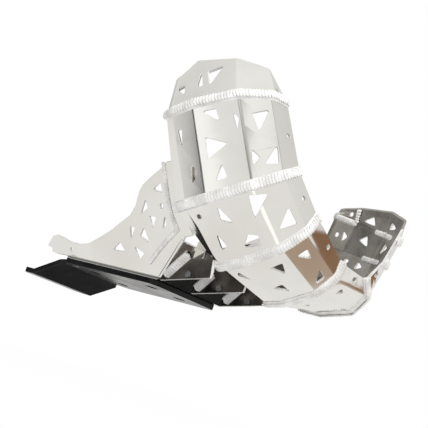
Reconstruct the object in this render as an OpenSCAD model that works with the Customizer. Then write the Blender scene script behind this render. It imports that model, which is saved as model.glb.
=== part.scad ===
// Motorcycle skid plate with pipe guard: folded and welded aluminium sheet, plastic bottom.
// Lengths in millimetres. +X is the bike's left, -Y the front, +Z up.
// The origin is the middle of the four frame bolt holes, on the underside of the base sheet.

/* [Base] */
// width of the flat base
base_w = 148; // [120:1:180]
// from the origin forward to the ramp bend
base_front = 111; // [100:1:125]
// from the origin back to the rear edge
base_rear = 102; // [92:1:120]
// sheet thickness of every aluminium piece
sheet = 4; // [3:0.5:5]
// slope of the front ramp
ramp_angle = 50; // [44:1:56]
// slant height of the front ramp
ramp_len = 72; // [55:1:76]

/* [Wings] */
// outward lean of the side wings
splay = 27; // [22:1:30]
// inward bend of the rear tab of each wing
tab_bend = 10; // [0:1:16]

/* [Gussets] */
// distance of the outer gussets from the sides of the base
gusset_inset = 4; // [0:1:14]
// slope of the lower edge of the gussets
gusset_slope = 12; // [8:1:16]
// leg of the fillet welds at the foot of the gussets
fillet = 8; // [5:0.5:9]

/* [Guard] */
// outside radius of the folds in the guard
fold_r = 14; // [8:0.5:16]
// half width of the ring welds
weld_half = 8; // [5:0.5:9]
// height of the ring welds
weld_h = 2.5; // [1:0.5:3]
// diameter of the small holes in the edge facets
edge_hole = 7; // [5:0.5:8]

/* [Plastic bottom] */
// thickness of the plastic bottom
plastic_t = 8; // [6:0.5:12]
// drop of the rear flap
flap_drop = 28; // [18:1:36]
// length of the sloping flap
flap_run = 58; // [45:1:70]
// length of the level lip
lip_run = 30; // [15:1:40]
// half width of the flap
flap_half = 66; // [50:1:70]

/* [Bolt holes] */
// sideways spacing of the frame bolt holes
bolt_dx = 64; // [50:1:80]
// fore and aft spacing of the frame bolt holes
bolt_dy = 124; // [100:1:140]
// diameter of the frame bolt holes
bolt_d = 8.5; // [6.5:0.5:9]
// distance of the plastic's screws from the sides of the base
screw_inset = 18; // [15:1:22]

/* [Hidden] */
$fn = 32;

// Guard path: the middle of the top ring, then one row per section.
start = [-base_w / 2 - 56, -base_front - 26, 311];
start_rot = [-29, -25, -69];
sec_len = [87, 130, 97, 114, 91, 90, 44, 32];
turn_out = [33, 31, 32, 15, 77, 11, 4];
turn_side = [1, 9, 1, 10, 21, 17, -12];
turn_roll = [0, 7, 3, 8, 14, 4, -1];
ring_scale = [0.95, 1.03, 1.04, 0.97, 0.84, 0.92, 0.99, 1, 0.98];
lip_w = [9, 10, 20, 4, 3, 3, 5, 6, 6];
top_drop = [26, 24, 0, 0, 2, 24];
// Channel profile: widths of the four wide facets and the angles between facets.
facet_w = [33, 62, 46, 26];
bend = [20, 14, 24, 37];

ALU = [0.8, 0.81, 0.82];
WELD = [0.7, 0.7, 0.7];
PLASTIC = [0.08, 0.08, 0.09];
STEEL = [0.6, 0.6, 0.62];

function unit(v) = v / norm(v);
function spin(v, a, w) = v * cos(w) + cross(a, v) * sin(w) + a * (a * v) * (1 - cos(w));
function rx(v, a) = [v[0], v[1] * cos(a) - v[2] * sin(a), v[1] * sin(a) + v[2] * cos(a)];
function ry(v, a) = [v[0] * cos(a) + v[2] * sin(a), v[1], v[2] * cos(a) - v[0] * sin(a)];
function rz(v, a) = [v[0] * cos(a) - v[1] * sin(a), v[0] * sin(a) + v[1] * cos(a), v[2]];
function euler(v, r) = rz(ry(rx(v, r[0]), r[1]), r[2]);

// A section frame holds the across, outward and along directions.
frame_0 = [euler([1, 0, 0], start_rot), euler([0, -1, 0], start_rot), euler([0, 0, -1], start_rot)];
function turned(f, w) = norm(w) < 0.01 ? f
    : [for (v = f) spin(v, unit(w), norm(w))];
function next_frame(f, k) = turned(f, turn_out[k] * f[0] + turn_side[k] * f[1] + turn_roll[k] * f[2]);
function frames_from(f, k) = k == 7 ? [f] : concat([f], frames_from(next_frame(f, k), k + 1));
sec_frame = frames_from(frame_0, 0);
function centre(k) = k == 0 ? start : centre(k - 1) + sec_frame[k - 1][2] * sec_len[k - 1];
function mitre_frame(k) = k == 0 ? turned(sec_frame[0], -15 * sec_frame[0][1])
    : k == 8 ? turned(sec_frame[7], 40 * sec_frame[7][0] - 4 * sec_frame[7][1])
    : [for (i = [0:2]) unit(sec_frame[k - 1][i] + sec_frame[k][i])];
function side_stretch(k) = (k == 0 || k == 8) ? 1 : 1 / cos(turn_side[k - 1] / 2);
function out_stretch(k) = (k == 0 || k == 8) ? 1 : 1 / cos(turn_out[k - 1] / 2);

// Corner points of the channel profile at a ring, from the lip to the far edge.
function corner(k, i) =
    i == 2 ? [-facet_w[1] / 2, 0] * ring_scale[k]
    : i == 3 ? [facet_w[1] / 2, 0] * ring_scale[k]
    : i == 4 ? corner(k, 3) + facet_w[2] * ring_scale[k] * [cos(bend[2]), -sin(bend[2])]
    : i == 5 ? corner(k, 4) + facet_w[3] * ring_scale[k] * [cos(bend[2] + bend[3]), -sin(bend[2] + bend[3])]
    : i == 1 ? corner(k, 2) + facet_w[0] * ring_scale[k] * [-cos(bend[1]), -sin(bend[1])]
    : corner(k, 1) + lip_w[k] * [-cos(bend[0] + bend[1]), -sin(bend[0] + bend[1])];
// Outward normal of each facet, by its lean.
lean = [-(bend[0] + bend[1]), -bend[1], 0, bend[2], bend[2] + bend[3]];
function nrm(a) = [sin(a), cos(a)];
bend_at = [0, bend[0], bend[1], bend[2], bend[3], 0];
function setback(i) = fold_r * tan(bend_at[i] / 2);
// Profile points: both ends and three points at each fold, each with its normal.
function prof_pts(k) = concat([corner(k, 0)],
    [for (i = [1:4]) each fold_pts(corner(k, i), lean[i - 1], lean[i], i)], [corner(k, 5)]);
function fold_pts(c, l0, l1, i) = [
    c - setback(i) * [cos(l0), -sin(l0)],
    c - (fold_r / cos((l1 - l0) / 2) - fold_r) * nrm((l0 + l1) / 2),
    c + setback(i) * [cos(l1), -sin(l1)]];
prof_nrm = concat([nrm(lean[0])],
    [for (i = [1:4]) each [nrm(lean[i - 1]), nrm((lean[i - 1] + lean[i]) / 2), nrm(lean[i])]],
    [nrm(lean[4])]);
NP = 14;
// Which profile corner each profile point belongs to.
corner_of = [0, 1, 1, 1, 2, 2, 2, 3, 3, 3, 4, 4, 4, 5];

// A ring of points at an inset from the outer surface.
mf = [for (k = [0:8]) mitre_frame(k)];
mc = [for (k = [0:8]) centre(k)];
pp = [for (k = [0:8]) prof_pts(k)];
function ring_pt(k, j, inset) = mc[k]
    + (pp[k][j][0] - inset * prof_nrm[j][0]) * side_stretch(k) * mf[k][0]
    + (pp[k][j][1] - inset * prof_nrm[j][1]) * out_stretch(k) * mf[k][1]
    + (k == 0 ? top_drop[corner_of[j]] * sec_frame[0][2] : [0, 0, 0]);
// A point on a section's lengthwise line: u is 0 at its first ring and 1 at its second.
function line_pt(k, j, inset, u) = ring_pt(k, j, inset) * (1 - u) + ring_pt(k + 1, j, inset) * u;
function line_len(k, j, inset) = norm(ring_pt(k + 1, j, inset) - ring_pt(k, j, inset));
// The same by a distance from either end.
function near_start(k, j, inset, d) = line_pt(k, j, inset, d / line_len(k, j, inset));
function near_end(k, j, inset, d) = line_pt(k, j, inset, 1 - d / line_len(k, j, inset));

// Rows of points along one section: at the ends, at the weld edges and between.
function row(k, j, inset, r) =
    r == 0 ? ring_pt(k, j, inset)
    : r == 1 ? near_start(k, j, inset, weld_half)
    : r == 4 ? near_end(k, j, inset, weld_half)
    : r == 5 ? ring_pt(k + 1, j, inset)
    : line_pt(k, j, inset, r == 2 ? 0.36 : 0.64);

// A solid from rows of closed loops; every loop has n points.
module tube(loops, n) {
    rows = len(loops);
    polyhedron(
        points = [for (l = loops) each l],
        faces = concat(
            [for (r = [0:rows - 2]) for (j = [0:n - 1]) each [
                [r * n + j, r * n + (j + 1) % n, (r + 1) * n + (j + 1) % n],
                [r * n + j, (r + 1) * n + (j + 1) % n, (r + 1) * n + j]]],
            [for (j = [0:n / 2 - 2]) each [
                [j + 1, j, n - 1 - j], [j + 1, n - 1 - j, n - 2 - j]]],
            [for (j = [0:n / 2 - 2]) let (b = (rows - 1) * n) each [
                [b + j, b + j + 1, b + n - 1 - j], [b + j + 1, b + n - 2 - j, b + n - 1 - j]]]));
}
// A loop: forward along one inset and back along another.
function loop_at(k, i0, i1, r, ja, jb) = concat(
    [for (j = [ja:jb]) row(k, j, i0, r)], [for (j = [jb:-1:ja]) row(k, j, i1, r)]);

module channel(k, i0, i1) {
    tube([for (r = [0:5]) loop_at(k, i0, i1, r, 0, NP - 1)], 2 * NP);
}
// A block from the guard's inner surface outward, to trim what stands inside the guard.
module trim_block(k) {
    tube([for (r = [0:5]) concat(
        [for (j = [0:NP - 1]) row(k, j, -70, r)],
        [for (j = [NP - 1:-1:0]) row(k, j, sheet, r)])], 2 * NP);
}

// Facet frame: x across, y along, z inward.
function mid_of(k, f) = (ring_pt(k, 3 * f, 0) + ring_pt(k, 3 * f + 1, 0)
    + ring_pt(k + 1, 3 * f, 0) + ring_pt(k + 1, 3 * f + 1, 0)) / 4;
function across(k, f) = unit(ring_pt(k, 3 * f + 1, 0) + ring_pt(k + 1, 3 * f + 1, 0)
    - ring_pt(k, 3 * f, 0) - ring_pt(k + 1, 3 * f, 0));
function along(k, f) = ring_pt(k + 1, 3 * f, 0) + ring_pt(k + 1, 3 * f + 1, 0)
    - ring_pt(k, 3 * f, 0) - ring_pt(k, 3 * f + 1, 0);
module on_facet(k, f) {
    o = mid_of(k, f);
    x = across(k, f);
    n = unit(cross(along(k, f), x));
    y = cross(x, n);
    multmatrix([[x[0], y[0], -n[0], o[0]], [x[1], y[1], -n[1], o[1]], [x[2], y[2], -n[2], o[2]]])
        children();
}
// A polygon with rounded corners.
function corner_run(p, i, r) = let (q = p[i], a = p[(i + len(p) - 1) % len(p)], b = p[(i + 1) % len(p)])
    let (u = unit(a - q), v = unit(b - q))
    let (half = acos(u * v) / 2)
    let (d = min(r / tan(half), 0.45 * norm(a - q), 0.45 * norm(b - q)))
    [for (t = [0, 0.25, 0.5, 0.75, 1])
        (1 - t) * (1 - t) * (q + u * d) + 2 * t * (1 - t) * q + t * t * (q + v * d)];
function rounded(p, r) = [for (i = [0:len(p) - 1]) each corner_run(p, i, r)];
module window(p, r) {
    translate([0, 0, -14])
        linear_extrude(28)
            polygon(rounded(p, r));
}
module edge_bore(x, y) {
    translate([x, y, -10])
        cylinder(h = 24, d = edge_hole);
}

// Windows of each section: facet number, then corner points in the facet frame.
windows = [
    [[1, [[-12, -8], [0, -6], [-5, 16]]], [2, [[-25, -24], [-17, 12], [-25, 13]]],
        [2, [[-15, -18], [7, -27], [-7, 14]]]],
    [[1, [[-10, -38], [-3, -36], [-8, -8]]], [1, [[3, 14], [10, 28], [-3, 43]]],
        [2, [[-19, -52], [1, -51], [4, -32]]], [2, [[-20, -16], [10, 0], [-21, 15]]],
        [2, [[-3, 24], [1, 46], [-16, 46]]], [2, [[23, -41], [30, -29], [25, -12]]],
        [3, [[-7, -34], [17, -36], [-2, -7]]], [3, [[-16, 14], [-7, 27], [-18, 39]]],
        [3, [[19, 13], [16, 40], [-3, 38]]]],
    [[1, [[5, -2], [2, 26], [13, 22]]], [2, [[-24, -37], [-11, -5], [-27, -16]]],
        [2, [[21, -36], [45, -28], [17, -3]]], [2, [[0, 14], [13, 20], [10, 35], [-12, 30]]],
        [3, [[11, -1], [13, 25], [-12, 22]]]],
    [[1, [[0, -40], [8, -12], [-6, -28]]], [2, [[1, -28], [21, -29], [12, -4]]],
        [2, [[-21, 15], [-4, 14], [-2, 35]]], [3, [[-7, -27], [10, -26], [6, -7]]],
        [3, [[6, 16], [3, 37], [-12, 39]]]],
    [[2, [[-13, -20], [-3, -17], [-9, -8]]], [2, [[8, 22], [20, 28], [9, 32]]],
        [3, [[-2, -15], [12, -13], [4, -4]]]],
    [[2, [[-20, 24], [-10, 36], [-20, 40]]], [2, [[3, 24], [18, 28], [7, 37]]]],
    [[1, [[4, -10], [12, 0], [1, 8]]], [2, [[-12, 2], [9, -4], [2, 12]]],
        [3, [[-8, 10], [3, 4], [-12, -9]]]],
    [[2, [[-19, -6], [8, -9], [0, 4]]], [3, [[-11, 4], [8, -2], [-13, -8]]]]];
// Small holes: facet number and place.
bores = [[[4, 0, 6]], [[4, 2, 0]], [[4, -1, 0], [1, -8, -28]], [[4, 0, 1]], [[4, -2, 1]],
    [[4, 2, 0]], [[1, -7, -2]], [[1, 2, 0]]];

module guard_section(k) {
    color(ALU)
        difference() {
            channel(k, 0, sheet);
            for (w = windows[k])
                on_facet(k, w[0])
                    window(w[1], 2.5);
            for (b = bores[k])
                on_facet(k, b[0])
                    edge_bore(b[1], b[2]);
        }
}
// A raised bead over the joint between two sections.
module ring_weld(k) {
    loops = [for (j = [0:NP - 1]) [
        near_end(k - 1, j, 0, weld_half), ring_pt(k, j, 0), near_start(k, j, 0, weld_half),
        near_start(k, j, -weld_h, weld_half * 0.55), near_end(k - 1, j, -weld_h, weld_half * 0.55)]];
    color(WELD)
        bead(loops, 5);
}
// A bead from cross-section loops, with fan ends.
module bead(loops, n) {
    rows = len(loops);
    e = (rows - 1) * n;
    polyhedron(
        points = [for (l = loops) each l],
        faces = concat(
            [for (r = [0:rows - 2]) for (j = [0:n - 1]) each [
                [r * n + j, (r + 1) * n + (j + 1) % n, (r + 1) * n + j],
                [r * n + j, r * n + (j + 1) % n, (r + 1) * n + (j + 1) % n]]],
            [for (j = [1:n - 2]) [0, j + 1, j]],
            [for (j = [1:n - 2]) [e, e + j, e + j + 1]]));
}
module inner_bead(k, ja, jb) {
    loops = [for (j = [ja:jb]) [
        near_start(k, j, sheet, 5), ring_pt(k, j, sheet), near_end(k - 1, j, sheet, 5),
        near_end(k - 1, j, sheet + 2, 3), near_start(k, j, sheet + 2, 3)]];
    bead(loops, 5);
}
module guard_inner_welds() {
    color(WELD) {
        inner_bead(6, 1, 3);
        inner_bead(6, 7, 9);
        inner_bead(7, 1, 4);
        inner_bead(7, 7, 9);
        inner_bead(5, 4, 6);
    }
}

// The front ramp: x across, y up the slope, z out of its front face.
ramp_tilt = 180 - ramp_angle;
module on_ramp() {
    translate([0, -base_front, 0])
        rotate([ramp_tilt, 0, 0])
            children();
}
// A point of the ramp seen from the side: s up the slope, n out of the front face.
function ramp_pt(s, n) = [-base_front - s * cos(ramp_angle) - n * sin(ramp_angle),
    s * sin(ramp_angle) - n * cos(ramp_angle)];
bend_r = 10;
bend_back = bend_r * tan(ramp_angle / 2);
function bend_arc(r, n) = [for (i = [0:n]) let (a = ramp_angle * i / n)
    [-base_front + bend_back - r * sin(a), bend_r - r * cos(a)]];

module base_plate() {
    color(ALU)
        difference() {
            intersection() {
                translate([-200, 0, 0])
                    rotate([90, 0, 90])
                        linear_extrude(400)
                            polygon(concat([[base_rear, sheet], [base_rear, 0]], bend_arc(bend_r, 5),
                                [ramp_pt(ramp_len, 0), ramp_pt(ramp_len, -sheet)],
                                [for (i = [5:-1:0]) bend_arc(bend_r - sheet, 5)[i]]));
                translate([0, 300, 0])
                    rotate([90, 0, 0])
                        linear_extrude(600)
                            polygon([[-base_w / 2, -10], [-base_w / 2, sheet],
                                [-base_w / 2 - 100 * tan(splay), sheet + 100],
                                [base_w / 2 + 100 * tan(splay), sheet + 100],
                                [base_w / 2, sheet], [base_w / 2, -10]]);
            }
            rear_corners(sheet + 2, 0);
            frame_bores(bolt_d, -1, sheet + 2);
            for (p = screw_at)
                translate([p[0], p[1], -1])
                    cylinder(h = sheet + 2, d = 6.6);
            for (s = [-1, 1])
                on_ramp()
                    translate([s * (base_w / 2 - 39), 40, -sheet - 1])
                        linear_extrude(sheet + 2)
                            polygon(rounded([[-14, -12], [14, -12], [0, 16]], 4));
        }
}
// Cuts the rear corners of the base and the plastic.
module rear_corners(h, z) {
    for (s = [-1, 1])
        translate([s * base_w / 2, base_rear, z - 1])
            rotate([0, 0, 45])
                cube([22, 22, 2 * h + 2], center = true);
}
module frame_bores(d, z, h) {
    for (x = [-1, 1])
        for (y = [-1, 1])
            translate([x * bolt_dx / 2, y * bolt_dy / 2, z])
                cylinder(h = h, d = d);
}
screw_at = [for (s = [-1, 1]) for (y = [-base_front + 23, base_rear - 22]) [s * (base_w / 2 - screw_inset), y]];

// The wing plane: x is the bike's Y, y is up the slope, z is out of the wing.
wing_edge = [[-107, 0], [60, 0], [60, 21], [39, 25], [12, 39], [-14, 54], [-31, 66], [-52, 80],
    [-63, 95], [-71, 116], [-79, 127], [-93, 138], [-113, 152], [-126, 164]];
wing_front_right = [[-200, 170], [-200, 74], [-160, 64]];
wing_front_left = [[-134, 160], [-146, 112], [-160, 76], [-160, 64]];
wing_tab = [[0, 0], [84, 0], [98, 2], [80, 20], [66, 24], [48, 23], [22, 20], [0, 21]];
wing_windows = [[[-113, 134], [-117, 120], [-97, 122]], [[-83, 108], [-88, 95], [-72, 82]],
    [[-90, 84], [-105, 84], [-97, 66]], [[-121, 90], [-125, 76], [-116, 68]],
    [[-51, 64], [-62, 63], [-52, 43]], [[-80, 67], [-92, 45], [-71, 53]],
    [[-30, 38], [-42, 25], [-14, 24]], [[-58, 37], [-81, 29], [-70, 17]]];
// The bent sheet seen along its slope, and a point of the tab seen square to the wing.
tab_at = 60;
wing_strip = [[-300, 0], [tab_at, 0], [tab_at + 130 * cos(tab_bend), -130 * sin(tab_bend)],
    [tab_at + 130 * cos(tab_bend) - sheet * sin(tab_bend), -130 * sin(tab_bend) - sheet * cos(tab_bend)],
    [tab_at - sheet * tan(tab_bend / 2), -sheet], [-300, -sheet]];
function tab_point(p) = [tab_at + p[0] * cos(tab_bend), p[1]];
// All that the wings stand on: the base, the bend's inner radius and the back of the ramp.
module below_wings() {
    translate([-200, 0, 0])
        rotate([90, 0, 90])
            linear_extrude(400)
                polygon(concat([[300, sheet]], bend_arc(bend_r - sheet, 5),
                    [ramp_pt(ramp_len, -sheet), ramp_pt(ramp_len, 76), [-300, -40], [300, -40]]));
}
module on_wing() {
    translate([-base_w / 2, 0, sheet])
        rotate([0, -splay, 0])
            mirror([1, 0, 0])
                rotate([90, 0, 90])
                    children();
}
module wing_plate(front) {
    difference() {
        on_wing()
            intersection() {
                translate([0, 200, 0])
                    rotate([90, 0, 0])
                        linear_extrude(260)
                            polygon(wing_strip);
                translate([0, 0, -60])
                    linear_extrude(80)
                        polygon(concat([[-112, -6], tab_point([84, -6])],
                            [for (i = [1:6]) tab_point(wing_tab[i])],
                            [for (i = [2:13]) wing_edge[i]], front));
            }
        on_wing()
            for (w = wing_windows)
                window(w, 2.5);
        on_wing()
            translate([-115, 101, -10])
                cylinder(h = 20, d = edge_hole);
        on_wing()
            translate([84, 8, -20])
                cylinder(h = 40, d = edge_hole);
        below_wings();
    }
}
module right_wing() {
    color(ALU)
        difference() {
            wing_plate(wing_front_right);
            trim_block(1);
            trim_block(2);
        }
}
module left_wing() {
    color(ALU)
        mirror([1, 0, 0])
            wing_plate(wing_front_left);
}
// A bead along the foot of each wing.
module wing_welds() {
    color(WELD)
        for (s = [0, 1])
            mirror([s, 0, 0])
                translate([-base_w / 2 + sheet / cos(splay), -base_front + 15, sheet])
                    rotate([-90, 0, 0])
                        linear_extrude(150)
                            polygon([[0, 0], [5, 0], [-4 * sin(splay), -4 * cos(splay)]]);
}

// A gusset's side outline: forward is -Y.
module gusset(x, t, top0, top1) {
    translate([x - sheet / 2, 0, 0])
        rotate([90, 0, 90])
            linear_extrude(sheet)
                polygon([[-base_front + 2, 0], [-base_front - 209, 209 * tan(gusset_slope)],
                    [-base_front - 209, top1], [t, top0], [t + 20, top0 - 20]]);
}
module trimmed_gusset(x, t, top0, top1) {
    color(ALU)
        difference() {
            gusset(x, t, top0, top1);
            on_ramp()
                translate([-200, -40, -80])
                    cube([400, 200, 80]);
            for (k = [1:5])
                trim_block(k);
            translate([x - 10, gusset_bolt_y, gusset_bolt_z])
                rotate([0, 90, 0])
                    cylinder(h = 20, d = 5.4);
        }
}
gusset_x = base_w / 2 - gusset_inset;
gusset_bolt_y = -base_front - 50;
gusset_bolt_z = 50 * tan(gusset_slope) + 6;
module gusset_right() {
    trimmed_gusset(-gusset_x, -base_front - 34, 46, 96);
}
module gusset_middle() {
    trimmed_gusset(0, -base_front - 29, 40, 90);
}
module gusset_left() {
    trimmed_gusset(gusset_x, -base_front - 29, 40, 90);
}
// Fillets between the gussets and the ramp.
module gusset_welds() {
    color(WELD)
        for (x = [-gusset_x, 0, gusset_x])
            for (s = [0, 1])
                on_ramp()
                    translate([x, 0, 0])
                        mirror([s, 0, 0])
                            translate([sheet / 2, x < 0 ? ramp_len - 14 : ramp_len - 26, 0])
                                rotate([90, 0, 0])
                                    linear_extrude(x < 0 ? ramp_len - 28 : ramp_len - 40)
                                        polygon([[0, 0], [fillet, 0], [fillet * 0.5, fillet * 0.6], [0, fillet]]);
}
module gusset_bolts() {
    color(STEEL)
        for (x = [-gusset_x, 0, gusset_x])
            translate([x, gusset_bolt_y, gusset_bolt_z])
                rotate([0, 90, 0]) {
                    translate([0, 0, -sheet / 2 - 4])
                        cylinder(h = 4, d = 10, $fn = 6);
                    translate([0, 0, -sheet / 2 - 1])
                        cylinder(h = sheet + 8, d = 5);
                    translate([0, 0, sheet / 2])
                        cylinder(h = 4, d = 10, $fn = 6);
                }
}
// A small tab on the outside of the right gusset, with its bolt.
module top_bracket() {
    color(ALU)
        translate([-gusset_x - sheet / 2 - 4, 0, 0])
            rotate([90, 0, 90])
                linear_extrude(4)
                    polygon(rounded([[gusset_bolt_y, 38], [gusset_bolt_y - 18, 42],
                        [gusset_bolt_y - 18, 68], [gusset_bolt_y, 64]], 3));
}

module plastic_bottom() {
    color(PLASTIC)
        difference() {
            union() {
                translate([-base_w / 2, -base_front + bend_back + 2, -plastic_t])
                    cube([base_w, base_front - bend_back - 2 + base_rear - 4, plastic_t]);
                translate([-flap_half, 0, 0])
                    rotate([90, 0, 90])
                        linear_extrude(2 * flap_half)
                            polygon([[base_rear - 6, 0], [base_rear - 6, -plastic_t],
                                [base_rear - 2, -plastic_t], [base_rear + flap_run, -flap_drop - plastic_t],
                                [base_rear + flap_run + lip_run, -flap_drop - plastic_t],
                                [base_rear + flap_run + lip_run, -flap_drop],
                                [base_rear + flap_run + 2, -flap_drop], [base_rear, 0]]);
            }
            rear_corners(plastic_t + 4, 0);
            for (s = [-1, 1])
                translate([s * flap_half, base_rear + flap_run + lip_run, -flap_drop - 4])
                    rotate([0, 0, 45])
                        cube([14, 14, 20], center = true);
            for (s = [-1, 1])
                translate([s * base_w / 2, -base_front + bend_back + 2, -4])
                    rotate([0, 0, 45])
                        cube([14, 14, 20], center = true);
            frame_bores(bolt_d, -plastic_t - 1, plastic_t + 2);
            frame_bores(18, -plastic_t - 1, 5);
            for (p = screw_at)
                translate([p[0], p[1], -plastic_t - 1]) {
                    cylinder(h = plastic_t + 2, d = 6.6);
                    translate([0, 0, 0.9])
                        cylinder(h = 3.4, d1 = 12.8, d2 = 6.6);
                    cylinder(h = 1, d = 12.8);
                }
        }
}
module plastic_screws() {
    color(STEEL)
        for (p = screw_at)
            translate([p[0], p[1], -plastic_t]) {
                difference() {
                    cylinder(h = 3, d1 = 12, d2 = 6);
                    translate([0, 0, -1])
                        cylinder(h = 3, d = 4.6, $fn = 6);
                }
                translate([0, 0, 2])
                    cylinder(h = plastic_t + sheet + 6, d = 6);
            }
}
module plastic_nuts() {
    color(STEEL)
        for (p = screw_at)
            translate([p[0], p[1], sheet]) {
                difference() {
                    union() {
                        cylinder(h = 1.2, d = 13);
                        cylinder(h = 6.2, d = 11, $fn = 6);
                    }
                    translate([0, 0, -1])
                        cylinder(h = 9, d = 6);
                }
            }
}

module guard_section_1() { guard_section(0); }
module guard_section_2() { guard_section(1); }
module guard_section_3() { guard_section(2); }
module guard_section_4() { guard_section(3); }
module guard_section_5() { guard_section(4); }
module guard_section_6() { guard_section(5); }
module guard_section_7() { guard_section(6); }
module guard_section_8() { guard_section(7); }
module guard_weld_1() { ring_weld(1); }
module guard_weld_2() { ring_weld(2); }
module guard_weld_3() { ring_weld(3); }
module guard_weld_4() { ring_weld(4); }
module guard_weld_5() { ring_weld(5); }
module guard_weld_6() { ring_weld(6); }
module guard_weld_7() { ring_weld(7); }

base_plate();
right_wing();
left_wing();
wing_welds();
gusset_right();
gusset_middle();
gusset_left();
gusset_welds();
gusset_bolts();
top_bracket();
guard_section_1();
guard_section_2();
guard_section_3();
guard_section_4();
guard_section_5();
guard_section_6();
guard_section_7();
guard_section_8();
guard_weld_1();
guard_weld_2();
guard_weld_3();
guard_weld_4();
guard_weld_5();
guard_weld_6();
guard_weld_7();
guard_inner_welds();
plastic_bottom();
plastic_screws();
plastic_nuts();
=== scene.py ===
"""A motorcycle skid plate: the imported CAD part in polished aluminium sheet, rippled welds and black plastic.

Everything is in metres in the CAD frame, unless a comment says mm: +X is the bike's left, -Y the front and
+Z up.
"""

import math

import bmesh
import bpy
from mathutils import Matrix, Vector


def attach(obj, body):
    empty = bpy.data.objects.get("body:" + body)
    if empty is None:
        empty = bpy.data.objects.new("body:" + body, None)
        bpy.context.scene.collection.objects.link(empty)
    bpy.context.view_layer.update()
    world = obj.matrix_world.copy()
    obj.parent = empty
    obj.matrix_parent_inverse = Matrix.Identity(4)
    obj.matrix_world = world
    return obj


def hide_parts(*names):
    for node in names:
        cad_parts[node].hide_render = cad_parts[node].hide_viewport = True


bl_info = {
    "name": "Motorcycle skid plate",
    "version": (1, 0, 0),
    "blender": (4, 5, 0),
    "location": "3D View > Sidebar > Skid plate",
    "description": "Dresses the CAD skid plate with metal, welds and plastic",
    "category": "Object",
}

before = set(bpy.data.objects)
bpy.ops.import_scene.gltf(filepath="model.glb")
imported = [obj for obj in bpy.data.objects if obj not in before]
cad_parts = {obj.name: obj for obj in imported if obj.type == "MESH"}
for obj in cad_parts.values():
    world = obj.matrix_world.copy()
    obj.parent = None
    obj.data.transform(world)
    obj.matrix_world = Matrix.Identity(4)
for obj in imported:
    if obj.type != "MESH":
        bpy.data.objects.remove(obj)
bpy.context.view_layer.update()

MM = 0.001

# The guard's path, as in the CAD source: lengths in mm and angles in degrees.
SECTIONS = 8
START = Vector((-130, -137, 311))
START_TURN = (-29, -25, -69)
SECTION_LENGTH = (87, 130, 97, 114, 91, 90, 44, 32)
TURN_OUT = (33, 31, 32, 15, 77, 11, 4)
TURN_SIDE = (1, 9, 1, 10, 21, 17, -12)
TURN_ROLL = (0, 7, 3, 8, 14, 4, -1)
RING_SCALE = (0.95, 1.03, 1.04, 0.97, 0.84, 0.92, 0.99, 1, 0.98)
LIP_WIDTH = (9, 10, 20, 4, 3, 3, 5, 6, 6)
FACET_WIDTH = (33, 62, 46, 26)
BEND = (20, 14, 24, 37)
# The lean of each facet.
LEAN = (-(BEND[0] + BEND[1]), -BEND[1], 0, BEND[2], BEND[2] + BEND[3])
FOLD_RADIUS = 14
SHEET = 4
# From the main facet in to the middle of the channel.
CHANNEL_MIDDLE = 60

# The base, its ramp and the wings, as in the CAD source: mm and degrees.
BASE_WIDTH = 148
BASE_FRONT = 111
RAMP_ANGLE = 50
WING_LEAN = 27

# Where the welds run, in mm. The inner stitches: ring, first and last profile point, and how far each runs on
# past them.
STITCHES = ((6, 1, 3, 4, 4), (6, 7, 9, 14, 18), (7, 1, 4, 0, 0), (7, 7, 9, 15, 18), (5, 4, 6, 0, 0))
# The stitch along a fold of the last section: profile point, start and end past the last ring.
FOLD_STITCH = (5, 4, 20)
# The weld on the right wing, down beside its front edge and back to the base: along the bike and up the wing.
WING_WELD = (
    (-120, 160), (-123, 138), (-128, 112), (-135, 90), (-146, 72), (-130, 58), (-110, 38), (-92, 18),
)
# The fillets of the gussets: each gusset's place across the bike and how far up the ramp they end.
GUSSET_WELDS = ((-70, 57), (0, 45), (70, 45))
GUSSET_WELD_FOOT = 15
# The middle of a fillet: beside the gusset's middle and in front of the ramp.
GUSSET_BEAD = (6.2, 4.2)
# How far the other beads stand out from the sheet, under their ripples.
RING_BEAD = 2.4
STITCH_BEAD = 1.6
WING_BEAD = 0.6

# Ripples: half width and depth sunk for the rings; pitch, half width and depth sunk for the others.
RING_RIPPLES = (6.6 * MM, 0.3 * MM)
STITCH_RIPPLES = (3.4 * MM, 4.2 * MM, 0.4 * MM)
WING_RIPPLES = (3.4 * MM, 3.8 * MM, 0.2 * MM)
GUSSET_RIPPLES = (3.6 * MM, 4.4 * MM, 1.0 * MM)
# What the wing's ripples stand out more than the setting says.
WING_EXTRA_HEIGHT = 0.4 * MM
# A ripple's length as a share of the pitch, its lean in degrees, how uneven it is by hand, and its faces.
RIPPLE_LENGTH = 0.86
RIPPLE_LEAN = 16
RIPPLE_UNEVEN = {"Min": 0.95, "Max": 1.06, "Seed": 7}
RIPPLE_FACES = {"Segments": 14, "Rings": 8, "Radius": 1.0}

# Cleaning a CAD mesh: what is merged, and what is too short for an edge.
MERGED = 0.00002
SLIVER = 0.0002
# In degrees: faces flatter than the first are joined, edges sharper than the second are shaded as edges, and
# edges sharper than the third are eased.
FLAT_ANGLE = 1
SMOOTH_ANGLE = 28
EASE_ANGLE = 32
# Eased edges that the panel doesn't set. The last guard section is cut close to its hole, where a wider one
# would cross itself.
LAST_SECTION_EDGE = 0.15 * MM
PLASTIC_EDGE = 0.9 * MM
STEEL_EDGE = 0.25 * MM
# A face whose direction agrees less than this with its sheet's own is a cut edge.
WING_CUT = 0.4
GUSSET_CUT = 0.75
GUARD_CUT = 0.35

# A noise lies mostly between these, and is stretched to run from 0 to 1.
STRETCH = {"From Min": 0.3, "From Max": 0.7}
# How deep a fine relief is.
FINE = 0.2 * MM
# What a colour in the panel is.
PAINT = {"size": 4, "subtype": "COLOR", "min": 0.0, "max": 1.0}

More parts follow.
